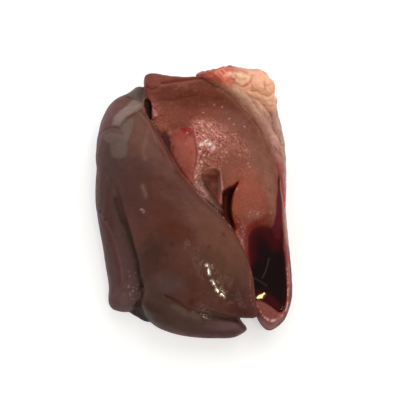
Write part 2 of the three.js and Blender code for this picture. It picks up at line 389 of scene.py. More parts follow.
def gathered(name, shapes):
    """One object out of several shapes."""
    every_point, every_face, shift = [], [], 0
    for verts, faces in shapes:
        every_point.append(verts)
        every_face += [tuple(i + shift for i in face) for face in faces]
        shift += len(verts)
    return new_object(name, np.vstack(every_point), every_face)


def grown_together(made, step):
    """Turns shapes that run into each other into one even skin."""
    skin = made.modifiers.new("skin", "REMESH")
    skin.mode = "VOXEL"
    skin.voxel_size = step
    skin.use_smooth_shade = True
    apply_modifiers(made)


def bumps(points, size, seed, octaves=3):
    """Uneven noise from about -1 to 1, with features of the given size."""
    shifted = points / size + seed * SEED_SHIFT
    return np.array([noise.fractal(p, 1.0, 2.0, octaves) for p in shifted.tolist()])


cut_slab = (arrays_of(liver.data)[0], [tuple(face.vertices) for face in liver.data.polygons])
bpy.data.objects.remove(liver)
others = [lobe(**shape) for shape in (caudate, strap, folded_lobe, left_margin, tucked_edge)]
liver = gathered("liver_body", [cut_slab] + others)
grown_together(liver, SKIN_STEP)
points, edges = arrays_of(liver.data)
points = evened(points, edges, 3)
x, y, z = points.T


def hump(at, reach, across=None):
    """1 at a place in plan, falling softly away."""
    return np.exp(-out_of_oval(x, y, at, (reach, across or reach)) ** 2)


# The flap grows out of the shoulder over the fold, and the rolled edge out of the near left corner.
blurred = evened(points, edges, 90)
run_in = np.maximum(hump((-112, 48), 28, 34), hump((-66, -112), 20, 16))
points = points + run_in[:, None] * (blurred - points)

# Each point of the skin belongs to the lobe or the hollow whose own surface is nearest.
shapes = dict(slab=right_lobe, hollow=hollow, vein=vein_mouth, slit=slit, far_gap=far_gap)
shapes |= dict(caudate=caudate, strap=strap, fold=folded_lobe, flap=left_margin, tuck=tucked_edge)
surfaces = [lobe(**shape)[0] for shape in shapes.values()]
owner = np.repeat(np.arange(len(surfaces)), [len(surface) for surface in surfaces])
tree = kdtree.KDTree(len(owner))
for number, place in enumerate(np.vstack(surfaces)):
    tree.insert(place, number)
tree.balance()
nearest = owner[[tree.find(p)[1] for p in points.tolist()]]
part = {name: (nearest == number).astype(float) for number, name in enumerate(shapes)}
capsule = evened(part["fold"] + part["flap"] + part["tuck"], edges, 2)
flesh = 1 - capsule
on_slab = evened(part["slab"], edges, 1)

put_points(liver.data, points)
facing = normals_of(liver.data)
upward = ramp(facing[:, 2], -0.2, 0.4)
x, y, z = points.T
wave_x, wave_y = bumps(points, 10, 31, 2), bumps(points, 10, 32, 2)


def close_to(line, reach, wave, mask_at):
    """A mask that is worked out only within reach of a line in plan. The wave makes the line wander."""
    u, v = x + wave * wave_x, y + wave * wave_y
    (left, low), (right, high) = line.min(0) - reach, line.max(0) + reach
    close = (u > left) & (u < right) & (v > low) & (v < high)
    mask = np.zeros(len(x))
    mask[close] = mask_at(u[close], v[close])
    return mask


def near(path, width, wave=0.0):
    """1 along a smooth line in plan, falling to 0 at about twice the width from it."""
    line = spline(path, LINE_STEPS, closed=False)
    return close_to(line, 3 * width, wave, lambda u, v: np.exp(-((distance_to(line, u, v) / width) ** 2)))


def inside(outline, soft=1.5, wave=0.0):
    """1 inside a smooth closed line in plan, with an edge that is this soft."""
    line = spline(outline, LINE_STEPS)

    def mask_at(u, v):
        within = np.zeros(len(u), bool)
        for (ax, ay), (bx, by) in zip(line, np.roll(line, -1, 0)):
            if ay != by:
                within ^= ((ay > v) != (by > v)) & (u < ax + (bx - ax) * (v - ay) / (by - ay))
        gap = distance_to(line, u, v, closed=True)
        return ramp(np.where(within, gap, -gap), -soft, soft)

    return close_to(line, 2 * soft, wave, mask_at)


def patch(at, reach, turn=0.0, ragged=0.0, seed=1, soft=0.5):
    """1 inside an oval in plan, with a soft or ragged edge."""
    out = out_of_oval(x, y, at, reach, turn)
    if ragged:
        out = out + ragged * bumps(points, 0.5 * min(reach), seed, 4)
    return ramp(out, 1 + soft / 2, 1 - soft / 2)


def cloud(at, along, across, turn):
    """A broad, ragged cloud of colour."""
    return 0.9 * patch(at, (along, across), turn, 0.35, int(abs(at[0])) + 1, 1.4)


def bits(size, seed, cut):
    """Scattered crumbs of about the given size. The higher the cut, the fewer."""
    return ramp(bumps(points, size, seed, 2), cut, cut + 0.12)


def moved(path, dx, dy):
    return [(px + dx, py + dy) for px, py in path]


free_edge = folded_lobe["outline"][:14]
flap_ridge = [(-122, -14), (-115, -22), (-110, -30), (-104, -42), (-99, -55), (-94, -70), (-91, -84)]
flap_ridge += [(-90, -94), (-89, -104)]
groove = [(-98, 0), (-93, -18), (-86, -33), (-79, -51), (-74, -65), (-70, -78), (-68, -90), (-65, -106)]
groove += [(-64, -121)]
lower_crease = [(-34, -119), (-25, -124), (-16, -129), (-7, -135), (2, -139), (14, -142), (26, -146)]
lower_crease += [(36, -147), (52, -149), (71, -149)]
neck_crease = [(-95, 89), (-89, 97), (-81, 107), (-75, 112), (-70, 117)]
neck_wrinkle = [(-119, 87), (-111, 90), (-103, 91), (-96, 89)]
end_crease = [(-88, 137), (-81, 136), (-75, 133), (-66, 127)]
glint_ridge = [(17, -82), (19, -89), (20, -96), (24, -103), (27, -109), (31, -116), (38, -121)]
far_crease = [(-44, 161), (-25, 163), (-5, 166), (15, 168)]
corner_crease = [(-63, 157), (-58, 153), (-50, 155)]
trough_crease = [(-58, 137), (-38, 138), (-18, 141), (8, 145)]
dark_gap = [(-62, 138), (-61, 132), (-60, 124), (-58, 115), (-57, 108)]
mouth_ridge = [(33, 41), (34, 27), (35, 12), (37, -1)]
mouth_rim = [(12, 38), (17, 41), (25, 44), (33, 42)]
oval_rim = [(-5, 105), (-1, 99), (0, 91), (1, 81), (3, 69), (4, 61), (3, 52), (1, 42), (-1, 31), (1, 23)]
connective = [(1, 99), (8, 84), (9, 68), (8, 52), (4, 34), (3, 20), (12, 8)]
strap_line = [(3, 24), (9, 16), (16, 7), (23, -3), (31, -12)]
rim_line = [(113, 70), (112, 54), (115, 14), (118, -25), (120, -50), (122, -81), (121, -112), (114, -138)]
tip_crest = [(121, -108), (119, -130), (113, -142), (105, -149), (96, -150), (89, -146), (83, -138)]
tip_crest += [(78, -130)]
sheet_shadow = [(38, 157), (49, 148), (62, 136), (75, 122), (85, 111), (94, 95), (101, 78)]
pool_shore = [(104, 6), (97, -18), (89, -25), (81, -28), (73, -34), (72, -48), (70, -61), (73, -74)]
pool_shore += [(75, -93), (77, -112), (81, -124), (91, -129), (101, -136), (108, -143)]
dense = inside([(-1, 103), (14, 107), (26, 101), (37, 89), (41, 78), (29, 68), (16, 67), (5, 73)], 6, 4)
rough_edge = [(-2, 106), (16, 114), (31, 108), (41, 98), (56, 91), (70, 76), (71, 62), (62, 58), (51, 66)]
rough_edge += [(44, 60), (38, 48), (24, 44), (13, 44), (6, 56), (2, 71), (-1, 89)]
rough = (0.4 + 0.6 * dense) * inside(rough_edge, 6, 5) * on_slab
torn = inside([(-58, 140), (-48, 133), (-40, 122), (-36, 110), (-40, 98), (-50, 97)], 5, 3) * on_slab

relief = capsule * (1.0 * bumps(points, 46, 1) + 0.3 * bumps(points, 12, 2))
relief += flesh * (0.7 * bumps(points, 30, 3) + 0.35 * bumps(points, 8, 4))
relief += capsule * (
    0.8 * near(flap_ridge, 1.1)
    - 1.5 * near(groove, 3) * ramp(y, -122, -92)
    - 1.5 * near(lower_crease, 1.8)
    - 1.4 * near(neck_crease, 1.8)
    + 1.2 * near(moved(neck_crease, -4, 4), 3)
    - 0.8 * near(neck_wrinkle, 1.5)
    - 1.2 * near(end_crease, 1.8)
    + 0.8 * near([(-109, 26), (-110, 1), (-113, -14)], 2.5)
    + 0.6 * near([(-101, 13), (-103, -6)], 2.5)
    - 1.2 * near([(-66, -13), (-61, -17)], 1.4)
    + 0.5 * near(glint_ridge, 3.0)
    - 0.7 * (hump((-26, -58), 3) + hump((38, -44), 2.5) + hump((-2, -127.5), 4.0))
    + 1.5 * hump((-40, -107), 9)
)
relief += on_slab * (
    -1.8 * near(far_crease, 1.5, 1)
    - 1.2 * near(corner_crease, 1.5)
    - 0.9 * near(trough_crease, 2, 2)
    + 1.0 * near(moved(far_crease, 0, -5), 2.5)
    - 1.0 * near([(-44, 92), (-36, 95), (-34, 84), (-28, 64)], 2.5)
)
relief += 0.8 * rough * np.abs(bumps(points, 7, 6, 4)) + 0.8 * torn * bumps(points, 4, 7, 3)
relief += flesh * (1.0 * near(mouth_ridge, 1.6) + 0.7 * near(mouth_rim, 1.4) + 0.8 * near(strap_line, 1.5))
relief *= upward
points = points + facing * relief[:, None]

# The outer side of the right rim and the far left side stand in a little from the lobes' own outlines.
points[:, 0] -= 0.9 * ramp(x, 116, 121) * ramp(y, 70, 50)
points[:, 0] += 0.7 * ramp(x, -104, -116)
points[:, 2] = np.maximum(points[:, 2], 0)
put_points(liver.data, points)


def in_frame(x, y, z):
    """The place in the frame, in metres, of a place given in the plan, in millimetres."""
    return Vector((x - PLAN_MIDDLE[0], y - PLAN_MIDDLE[1], z)) * MM


def settle(made):
    """Moves a shape from the plan to its place in the frame."""
    made.data.transform(Matrix.Translation(in_frame(0, 0, 0)) @ Matrix.Scale(MM, 4))


settle(liver)


def srgb(text):
    """A colour given as it looks, as linear numbers."""
    shown = np.array([int(text[i:i + 2], 16) / 255 for i in (0, 2, 4)])
    return np.where(shown <= 0.04045, shown / 12.92, ((shown + 0.055) / 1.055) ** 2.4)


paint = np.tile(srgb("56322a"), (len(points), 1))


def tint(colour, mask):
    """Draws the paint towards a colour, as far as the mask says."""
    global paint
    paint = paint + np.clip(mask, 0, 1)[:, None] * (srgb(colour) - paint)


# The capsule: broad clouds of colour, then crisp patches of painted sheen, lines and spots.
capsule_clouds = (
    # The first two clouds, grey-olive and lilac on the shoulder, are partly the capsule's own tone and partly
    # painted sheen.
    ("4d3632", (-100, 60), 46, 26, 90),
    ("614040", (-108, 108), 26, 18, 60),
    ("623c2e", (-62, 84), 40, 17, 105),
    ("4a2d2a", (-68, 12), 34, 22, 90),
    ("50291f", (-27, -7), 38, 24, -60),
    ("613a2c", (14, -30), 34, 16, -45),
    ("4f2313", (-20, -42), 20, 12, -20),
    ("402821", (-50, -74), 30, 18, 60),
    ("633c2d", (40, -62), 30, 20, -60),
    ("513223", (34, -96), 34, 22, -60),
    ("401b1b", (56, -127), 26, 14, -60),
    ("4c2a20", (-4, -103), 34, 18, -10),
    ("503a36", (-30, -104), 18, 12, -10),
)
for colour, *oval in capsule_clouds:
    tint(colour, capsule * cloud(*oval))
tint("4c322e", part["flap"] * ramp(x, -92, -106))
tint("573c3a", part["flap"] * ramp(x, -106, -96))
tint("4f3937", part["flap"] * cloud((-104, -90), 40, 9, 80))
curl = [(-59, -102), (-51, -99), (-43, -110), (-33, -122), (-12, -132), (14, -138), (38, -146), (64, -148)]
curl += [(72, -162), (40, -180), (-10, -178), (-45, -168), (-58, -152), (-60, -130)]
tint("49332b", capsule * inside(curl, 2, 2))
tint("3f2921", part["tuck"] * cloud((-50, -140), 26, 10, -30))
tint("5e4442", part["tuck"] * patch((44, -158), (24, 12), 0, 0.2, 3, 1.0))
tint("4b2826", part["tuck"] * ramp(y, -158, -166) * (0.4 + 0.6 * ramp(z, 12, 20)))
end_patch = [(-90, 146), (-78, 153), (-63, 151), (-63, 138), (-68, 130), (-76, 134)]
tint("554642", capsule * inside(end_patch, 1.5))
sheen_band = [(-80, 133), (-67, 131), (-71, 120), (-86, 108), (-94, 94), (-102, 95), (-100, 106), (-88, 122)]
neck = [(-116, 93), (-104, 97), (-94, 93), (-86, 104), (-82, 82), (-98, 80), (-114, 82)]
tint("5c423e", 0.8 * capsule * inside(neck, 2.5, 2))
# The pale band across the shoulder and the light line at its end are painted sheen, where the shoulder's
# ridge catches the light.
tint("7a655f", 0.9 * capsule * inside(sheen_band, 2, 2))
tint("8f7a70", 0.5 * capsule * near([(-67, 135), (-74, 125), (-86, 121), (-95, 115)], 1.0, 1))
sheen_patch_one = [(-100, 82), (-91, 82), (-85, 75), (-83, 65), (-85, 54), (-91, 50), (-101, 53), (-105, 62)]
sheen_patch_two = [(-93, 95), (-87, 104), (-78, 105), (-77, 97), (-81, 80), (-85, 74), (-89, 84)]
sheen_patch_three = [(-115, 82), (-101, 83), (-104, 71), (-113, 75)]
# Crisp grey patches on the shoulder: painted sheen, a soft reflection of light.
tint("614f48", 0.8 * capsule * inside(sheen_patch_one, 2.0, 0.8))
tint("624d44", 0.9 * capsule * inside(sheen_patch_two, 1.4, 0.6))
tint("66544e", 0.7 * capsule * inside(sheen_patch_three, 1.2, 0.8))
tint("6b493f", 0.7 * capsule * near([(-59, 95), (-60, 76), (-63, 62), (-62, 50)], 2.2, 2.5))
tint("6e5242", 0.7 * capsule * near([(-63, 16), (-60, 9), (-59, 2)], 2.4, 1.5))
tint("5d3b30", 0.7 * capsule * near([(-69, 112), (-73, 92), (-77, 72), (-75, 55)], 2.6, 2.5))
tint("866256", 0.5 * capsule * near([(-72, 117), (-65, 109), (-59, 102), (-53, 90), (-47, 75)], 0.9, 0.5))
wall = [(-52, 90), (-47, 84), (-42, 75), (-36, 62), (-31, 52), (-25, 41)]
tint("6e453e", 0.7 * part["fold"] * near(wall, 3))
for spot in ((-43, 65), (-41, 63), (-39, 59), (-38, 57)):
    tint("5a1a07", 0.9 * capsule * hump(spot, 1.6))
tint("4e3e39", 0.6 * capsule * near([(-109, 28), (-106, 20), (-102, 11), (-98, 0)], 2.5, 1))
tint("5a433d", 0.6 * capsule * near(neck_crease, 1.0, 0.6))
tint("492f2c", 0.7 * capsule * near(neck_wrinkle, 0.8, 0.6))
# The dark band and line down the groove between the fold and the flap are painted shade.
tint("39271f", 0.8 * capsule * near(groove, 4.0, 1))
tint("301e14", capsule * near(groove[3:], 1.5, 0.7))
# The thin pink line along the flap's ridge is a painted highlight, where its edge catches the light.
tint("694645", 0.9 * capsule * near(flap_ridge, 0.65, 0.7))
tint("502d2e", 0.8 * part["flap"] * near(moved(flap_ridge, -4, -3), 2.6, 1))
tint("070707", 0.8 * capsule * (hump((-121, -13), 2) + hump((-113, -24), 1.8)))
# The pale dash at the small nick is a painted glint.
tint("a98f84", capsule * near([(-65, -14), (-62, -15), (-61, -18)], 0.7))
# The dark lines in and just below the lower crease, and at the foot of the rolled edge, are painted shade.
tint("542a18", 0.9 * capsule * near(lower_crease, 1.2, 0.5))
tint("421907", 0.7 * capsule * near(moved(lower_crease, 0, -3), 0.8, 0.5))
tint("5f4a3f", 0.7 * capsule * near([(-23, -133), (-16, -137), (-10, -141), (-2, -143), (6, -146)], 4, 2))
tint("401e11", 0.8 * capsule * near(lower_crease, 0.8, 0.5))
tint("392620", 0.9 * capsule * near([(20, -144), (29, -146), (41, -147), (53, -148)], 1.6, 0.5))
for spot in ((-26, -58), (38, -44), (-6, -40), (-33, -70), (20, -60), (48, -116), (34, -127)):
    tint("3f1c17", 0.8 * capsule * hump(spot, 2.2))
tint("4c0707", 0.9 * capsule * hump((-2, -127.5), 4.2))
# A thin lighter line along the fold's free edge: painted highlight of its rim.
tint("703127", 0.35 * evened(part["fold"], edges, 1) * near(moved(free_edge, -1.5, -1), 0.9, 0.5))
# Pale specks on the flap's low end and on the rolled edge: painted glints of the wet capsule.
tint("a89286", 0.8 * capsule * bits(2.6, 33, 0.42) * (hump((-76, -106), 11, 18) + hump((12, -141), 9, 8)))
# Cream bits along the glint ridge: painted glints, on top of the real ones from the side lamp.
tint("eaddc7", capsule * bits(2.8, 39, 0.0) * near(glint_ridge, 1.5, 1.5))
tint("604944", 0.7 * part["flap"] * patch((-86, -124), (9, 9), 0, 0.2, 4, 0.9))
tint("5a3c42", 0.7 * part["flap"] * patch((-103, -124), (8, 9), 0, 0.2, 5, 0.9))
tint("654242", 0.5 * part["flap"] * near([(-79, -103), (-90, -111), (-102, -120)], 2.0, 2))

# The flesh: the brown trough behind the far edge, the smooth oval lobe, the torn and rough places at the
# porta, the dark mouth and slit, and the stain that the blood leaves round the hollow.
tint("6d3526", part["slab"])
slab_clouds = (
    ("814939", (70, 60), 90, 60, 90),
    ("834940", (-42, 155), 40, 20, 0),
    ("612a1a", (6, 141), 66, 13, -8),
    ("774032", (40, 118), 50, 14, -18),
    ("6d332a", (80, 100), 44, 14, -55),
)
for colour, *oval in slab_clouds:
    tint(colour, on_slab * cloud(*oval))
# Lighter bands on the slab beside the fat's sheet: painted light against the shade of the fat's margin, with
# a thin film of fat in it.
tint("925a49", 0.8 * on_slab * near([(90, 92), (97, 77), (103, 60), (107, 44)], 5, 1))
tint("965f4e", 0.8 * on_slab * near(moved(sheet_shadow, -3, -3), 3.5, 1.5))
tint("6f4133", 0.8 * on_slab * cloud((58, 104), 22, 12, -50))
tint("775142", 0.8 * on_slab * cloud((84, 62), 30, 12, 100))
tint("8e4836", on_slab * cloud((68, 4), 40, 20, 90))
tint("730707", on_slab * cloud((56, -40), 20, 14, -50))
tint("835545", on_slab * cloud((100, 30), 50, 7, 97))
tint("6d301e", on_slab * cloud((-5, 120), 30, 10, -5))
tint("90493c", part["caudate"])
tint("883a2e", part["caudate"] * cloud((-14, 88), 14, 8, 0))
tint("a44e43", 0.8 * part["caudate"] * ramp(y, 44, 22))
tint("791607", part["caudate"] * inside([(-18, 100), (-8, 101), (0, 96), (2, 86), (-8, 88), (-16, 92)], 3, 3))
tint("944b3d", 0.9 * flesh * near(connective, 3.0, 2))
tint("cda294", flesh * near(connective, 3.5, 2) * bits(3.2, 34, 0.2))
tint("6e1d18", 0.8 * flesh * near(oval_rim, 0.9, 0.7))
for spot in ((-10, 84), (-21, 55), (-15, 43), (-12, 94), (-7, 92), (-18, 98), (-25, 72), (-3, 62)):
    tint("5f1712", 0.8 * part["caudate"] * hump(spot, 1.3))
tint("d2aaa0", flesh * (0.8 * hump((-8, 90), 0.9) + 0.4 * hump((-10, 74), 0.9)))
tint("730707", 0.7 * rough)
tint("9a4e43", 0.7 * dense * on_slab)
# Near white bits beside the oval lobe: painted glints of the wet flesh.
glint_bits = on_slab * bits(2.6, 36, -0.2) * near([(9, 74), (13, 74), (17, 79), (22, 74), (26, 69)], 2.8)
tint("f3e2de", 0.95 * glint_bits)
# Small pale spots on the slab: painted highlights.
for spot in ((28, 133), (38, 130), (13, 121), (47, 112), (53, 103), (67, 100), (71, 50), (73, 46), (56, 16)):
    tint("d9b0a2", 0.8 * on_slab * hump(spot, 0.8))
tint("6f2912", torn)
tint("861e24", 0.8 * on_slab * near([(-55, 131), (-53, 124), (-50, 117)], 2.5, 2))
torn_line = [(-57, 136), (-55, 128), (-52, 120), (-49, 114)]
# Pale bits along the torn edge: torn tissue with painted highlights on it.
tint("d8a09c", 0.5 * on_slab * bits(3.0, 44, 0.0) * near(torn_line, 3.5, 1))
tint("854938", 0.9 * on_slab * near([(-54, 107), (-47, 101), (-39, 99)], 7, 3))
tint("722416", 0.9 * on_slab * near(far_crease, 1.3, 1))
tint("5c1d0a", 0.8 * on_slab * near(corner_crease, 1.1, 0.6))
tint("6c2d21", 0.7 * on_slab * near(trough_crease, 1.4, 2))
tint("814b3b", 0.6 * on_slab * near(moved(far_crease, -6, 7), 3, 2))
tint("a06a58", 0.5 * on_slab * near([(-24, 155), (-18, 158), (-10, 158)], 2, 5))
tint("6e4f46", np.maximum(part["far_gap"], near(dark_gap, 2.6) * ramp(z, 40, 34)))
tint("4d100b", 0.9 * on_slab * near([(-55, 109), (-47, 114), (-42, 117)], 1.1, 1))
# The notch beside the oval lobe is painted nearly black red: painted shade in it.
dark_notch = [(-43, 90), (-37, 95), (-33, 90), (-32, 84), (-27, 62), (-32, 68)]
tint("3e0707", 0.9 * on_slab * inside(dark_notch, 1.5, 1))
tint("96624e", on_slab * hump((-31, 92), 3, 3))
tint("7d4030", part["vein"])
tint("54251a", part["vein"] * ramp(x, 27, 21) * ramp(y, 34, 26))
tint("561c10", part["vein"] * ramp(x, 20, 26) * ramp(x, 34, 31) * ramp(y, 26, 14))
tint("a96a5c", 0.8 * part["vein"] * ramp(y, 35, 40))
tint("bb8475", (part["vein"] + on_slab) * near([(33, 40), (34.5, 33), (36, 24), (37, 12)], 2.0, 0.5))
tint("591a10", 0.8 * on_slab * near([(37.5, 34), (39, 24), (39.5, 14)], 0.8, 0.4))
tint("5b4f42", 0.8 * flesh * hump((10, 31), 3.4, 2.6))
tint("632c25", part["slit"])
tint("a64335", part["slit"] * ramp(x, 46, 52))
# The slit's walls are painted darker the deeper they go: painted shade.
tint("5e2c24", part["slit"] * ramp(z, 34, 28))
tint("4f2313", part["strap"])
tint("95685d", flesh * near([(2, 22), (8, 13), (14, 5), (17, 1)], 3.6, 1))
tint("6c422c", flesh * near([(18, -2), (22, -8), (26, -14)], 3, 1))
tint("9a7162", 0.7 * flesh * near(strap_line, 0.8, 0.8) * part["strap"])
tint("a37d70", 0.8 * flesh * bits(2.4, 42, 0.1) * np.minimum(hump((5, 36), 5, 9) + hump((9, 21), 4, 6), 1))
tint("9a6156", flesh * near(mouth_ridge, 1.5, 0.6))
tint("bd7a6c", 0.9 * flesh * near(mouth_rim, 1.1, 1.2))
# The white dashes beside the fold's edge by the slit are painted glints.
tint("e2d2cb", flesh * near([(38, -21), (41, -27), (47, -33)], 0.8, 0.6))
tint("5c463a", 0.7 * on_slab * hump((100, 15), 4))
# A dark line on the slab along the fold's free edge: painted shadow of the edge.
tint("2d0707", 0.8 * flesh * near(moved(free_edge[3:], 2.5, 1), 1.8))
# Light flecks where the flesh's wet crumbs sparkle: painted highlights, with real gloss from the glints
# further down.
crumbs = hump((78, -16), 12, 6) + hump((63, -46), 6, 20)
crumbs += 0.4 * (hump((60, 8), 6, 8) + hump((68, 38), 6, 8))
crumbs = np.minimum(crumbs, 1)
tint("b98a7b", 0.9 * flesh * upward * bits(2.4, 37, 0.4) * crumbs)
tint("a85f4e", 0.8 * flesh * near([(56, -39), (61, -50), (65, -59), (69, -69)], 1.4, 1.5))
tint("541507", 0.7 * flesh * near([(53, -40), (58, -53), (63, -64)], 1.0, 1))
out_of_pool = distance_to(spline(pool_shore, 80, closed=False), x, y)
wetted = 3.5 * ramp(y, -100, -80) * ramp(x, 92, 78)
ragged = bumps(points, 14, 15)
shore = ramp(z, BLOOD_LEVEL + 2 + wetted + ragged, BLOOD_LEVEL - 0.5 + ragged)
tint("945c55", part["hollow"])
tint("4d0707", (part["hollow"] + part["slab"]) * shore)
stain = ramp(out_of_pool - 3.2 * wave_x, 8, 0) * ramp(y, -10, -22) * (0.25 + 0.75 * ramp(x, 98, 86))
tint("791f07", (part["hollow"] + on_slab) * stain)
tint("753c36", (part["hollow"] + on_slab) * patch((93, -140), (18, 11), -38, 0.2, 16, 0.4))
tint("944344", flesh * near(rim_line, 3.4))
tint("978577", 0.9 * flesh * near(moved(rim_line, 2.8, 0), 2.2, 0.7) * ramp(y, -75, -45))
# The black line outside the lower rim is painted shade on its outer side.
tint("070707", 0.9 * flesh * near(moved(rim_line, 3.6, -1), 2.0) * ramp(y, -45, -65))
tint("a4776a", 0.7 * flesh * near(rim_line, 3.0) * ramp(bumps(points * (1, 0.25, 1), 4, 17), 0, 0.4))
tint("a68a7a", 0.5 * flesh * near(rim_line, 3) * ramp(y, -60, -30) * ramp(y, 62, 42))
tint("884136", flesh * near(tip_crest, 3.0))
# Light specks along the crests of the tip and of the rim: painted highlights.
tint("e2cbc4", flesh * near(tip_crest, 0.9, 0.8) * bits(2.0, 38, 0.0) * ramp(y, -122, -130))
tint("dab4a9", 0.8 * flesh * bits(2.2, 45, 0.1) * near([(120, -84), (120.5, -100), (119, -118)], 1.5, 1))
under_tip = [(84, -149), (92, -156), (98, -158), (104, -153), (110, -146)]
tint("8b5f5b", 0.9 * flesh * near(under_tip, 3.4))

# Blood lies along the inner side of the rim, far up beyond the pool.
tail_edge = [(111, 37), (109.6, 30), (109.5, 23), (109.8, 16), (107.4, 2), (107.2, -7), (106.5, -17)]
tail_edge += [(104.7, -23), (103, -31), (96, -36), (98, -60), (104, -100), (104, -126), (110, -137)]
tail_edge += [(113.5, -136), (118, -122), (119.3, -104), (118.5, -88), (116.5, -66), (115.5, -48)]
tail_edge += [(114.8, -33), (114.3, -19), (114.6, -8), (114.6, 2), (113.2, 12), (112.6, 23), (112.8, 31)]
tail = flesh * inside(tail_edge, 1.0)
tint("56141c", tail)
tint("590707", tail * ramp(y, 4, 24))
tint("6c0707", 0.8 * flesh * near([(108, 76), (109, 62), (111, 45), (112, 35)], 0.9, 1))

# The narrow hollow between the flap and the rolled edge is painted nearly black and dark red for the shade
# deep inside it.
red_gap = [(-84, -130), (-76, -127), (-68, -125), (-60, -132), (-56, -146), (-58, -158), (-72, -154)]
red_gap += [(-82, -144)]
in_gap = inside(red_gap, 2) * ramp(z, 40, 27) * (1 - evened(part["flap"], edges, 1))
tint("070707", in_gap)
tint("1c0707", 0.9 * in_gap)
tint("2a0707", 0.8 * in_gap * near([(-78, -136), (-72, -141), (-67, -145)], 3, 1.5))

# Faces that turn downwards, underneath and round the sides, are painted dark red.
unopened = (1 - part["slit"]) * (1 - part["vein"])
tint("500707", (1 - upward) * (1 - part["hollow"]) * unopened * (1 - inside(red_gap, 3)))
paint = evened(paint, edges, 1, 0.3)
grain = evened(flesh * unopened * (1 - 0.6 * part["caudate"]), edges, 3)
grain *= upward * (1 - tail)


def store(mesh, name, values):
    colours = mesh.attributes.new(name, "FLOAT_COLOR", "POINT")
    full = np.ones((len(values), 4))
    full[:, :3] = values
    colours.data.foreach_set("color", full.ravel())


store(liver.data, "paint", paint)
glints = 1.4 * near(glint_ridge, 3.0, 1.5) * bits(2.8, 39, -0.1) + 0.05 * rough
glints += 0.5 * capsule * bits(4, 40, 0.0) * (hump((-84, -106), 8, 16) + hump((12, -141), 8, 8))
glints += 0.5 * crumbs * flesh
glints += 0.2 * flesh * near(strap_line, 3)
glints *= 1 - near(groove, 6)
net = np.clip(0.95 * rough + 0.15 * torn + 0.7 * flesh * near(connective, 5), 0, 1)
net *= (1 - near(oval_rim, 1.2)) * (1 - 0.8 * glint_bits)
store(liver.data, "finish", np.stack([grain, net, np.clip(glints, 0, 1)], 1))


class Recipe:
    """Short ways to add the nodes of one material, or of the room."""

    def __init__(self, owner):
        owner.use_nodes = True
        self.owner = owner
        self.nodes, self.links = owner.node_tree.nodes, owner.node_tree.links
        self.place = self.add("TexCoord").outputs["Object"]

    def put(self, socket, amount):
        """Gives a socket a fixed amount, or a link to another node."""
        if isinstance(amount, bpy.types.NodeSocket):
            self.links.new(amount, socket)
        else:
            socket.default_value = amount

    def fill(self, node, sockets):
        """Puts an amount into each named socket of a node."""
        for name, amount in sockets.items():
            self.put(node.inputs[name.replace("_", " ")], amount)
        return node

    def add(self, kind, **sockets):
        return self.fill(self.nodes.new("ShaderNode" + kind), sockets)

    def set(self, **sockets):
        self.fill(self.nodes["Principled BSDF"], sockets)

    def attribute(self, name):
        node = self.add("Attribute")
        node.attribute_name = name
        return node.outputs["Color"]

    def drawn_out(self, turn, stretch):
        """Places in which a pattern is drawn out by stretch along a line turned this far, in degrees."""
        turned = (0, 0, math.radians(turn))
        node = self.add("Mapping", Vector=self.place, Rotation=turned, Scale=(stretch, 1, 1))
        node.vector_type = "TEXTURE"
        return node.outputs[0]

    def noise(self, scale, detail=3, rough=0.55, warp=0, place=None):
        sockets = dict(Scale=scale, Detail=detail, Roughness=rough, Distortion=warp)
        return self.add("TexNoise", Vector=place or self.place, **sockets).outputs["Fac"]

    def math(self, operation, a, b=0):
        node = self.add("Math")
        node.operation = operation
        self.put(node.inputs[0], a)
        self.put(node.inputs[1], b)
        return node.outputs[0]

    def span(self, value, low, high, to_low, to_high):
        sockets = dict(From_Min=low, From_Max=high, To_Min=to_low, To_Max=to_high)
        return self.add("MapRange", Value=value, **sockets).outputs[0]

    def uneven(self, scale, low, high, detail=3):
        """A value that wavers between low and high."""
        return self.span(self.noise(scale, detail), 0.3, 0.7, low, high)

    def scaled(self, colour, factor):
        node = self.add("VectorMath")
        node.operation = "SCALE"
        return self.fill(node, dict(Vector=colour, Scale=factor)).outputs[0]

    def mix(self, factor, a, b):
        """Colour a, turned into the fixed colour b by the factor."""
        node = self.add("Mix")
        node.data_type = "RGBA"
        first, second = [socket for socket in node.inputs if socket.type == "RGBA"]
        self.put(node.inputs["Factor"], factor)
        self.put(first, a)
        self.put(second, (*srgb(b), 1))
        return [socket for socket in node.outputs if socket.type == "RGBA"][0]

    def bump(self, height, distance, strength=1, under=None):
        """Fine unevenness of the surface, this deep in metres, on top of the one under it."""
        node = self.add("Bump", Height=height, Distance=distance, Strength=strength)
        if under:
            self.put(node.inputs["Normal"], under)
        return node.outputs[0]


def recipe_for(made, name):
    """A new material on a finished object."""
    recipe = Recipe(bpy.data.materials.new(name))
    made.data.materials.append(recipe.owner)
    return recipe


raw = recipe_for(liver, "liver_flesh")
grain_of, net_of, glints_of = raw.add("SeparateColor", Color=raw.attribute("finish")).outputs


def strands(scale, warp, turn, stretch, thin, thick, strength):
    """Torn threads, along the lines where a drawn-out noise has its middle value."""
    drawn = raw.noise(scale, 2, 0.5, warp, raw.drawn_out(turn, stretch))
    return raw.span(raw.math("ABSOLUTE", raw.math("SUBTRACT", drawn, 0.5)), thin, thick, strength, 0)


mottle = raw.math("MULTIPLY", raw.uneven(70, 0.90, 1.10, 4), raw.uneven(420, 0.94, 1.06))
base = raw.scaled(raw.attribute("paint"), mottle)
